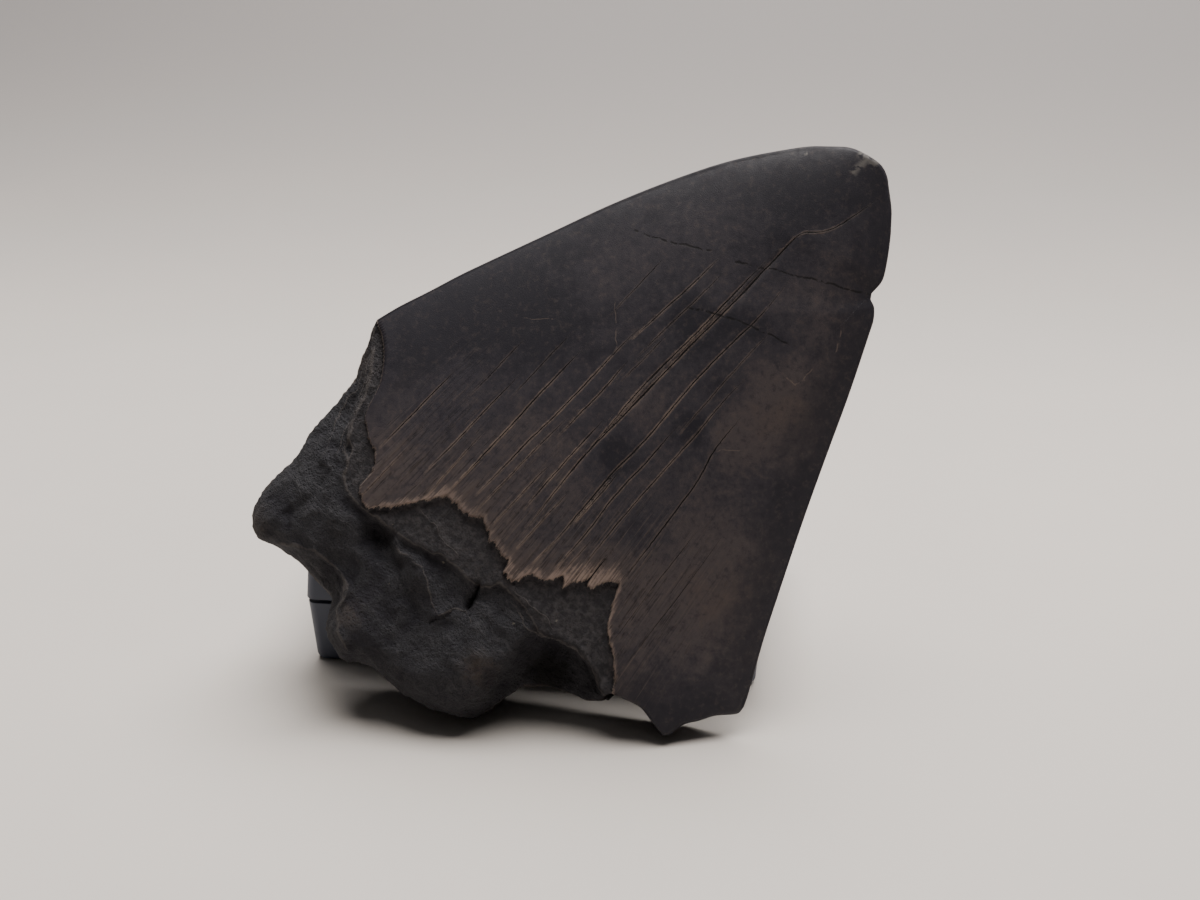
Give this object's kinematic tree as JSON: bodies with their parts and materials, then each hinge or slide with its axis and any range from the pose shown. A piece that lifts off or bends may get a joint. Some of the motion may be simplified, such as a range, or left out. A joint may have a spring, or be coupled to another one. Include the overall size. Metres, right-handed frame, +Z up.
{
  "type": "megalodon tooth with stand",
  "caption": "Large broken fossil shark tooth, dark enamel crown and rough root, leaning back on a small slate-coloured two-part plastic case that serves as its stand.",
  "frame": {"origin": "on the surface that the part stands on, at the middle of its footprint box", "axes": "+Z up, +X to the right along the front of the stand, +Y to the back; the tooth's front face looks towards -Y and up"},
  "size_m": [0.1344, 0.101, 0.1173],
  "materials": {
    "fossil_tooth": "dark grey-brown fossil enamel with a satin sheen over rough near-black root, pale tan where the enamel has broken away",
    "slate_plastic": "fine-grained dark blue-grey plastic"
  },
  "bodies": {
    "root": {"tooth": "fossil_tooth", "case_base": "slate_plastic", "case_lid": "slate_plastic"}
  },
  "joints": []
}
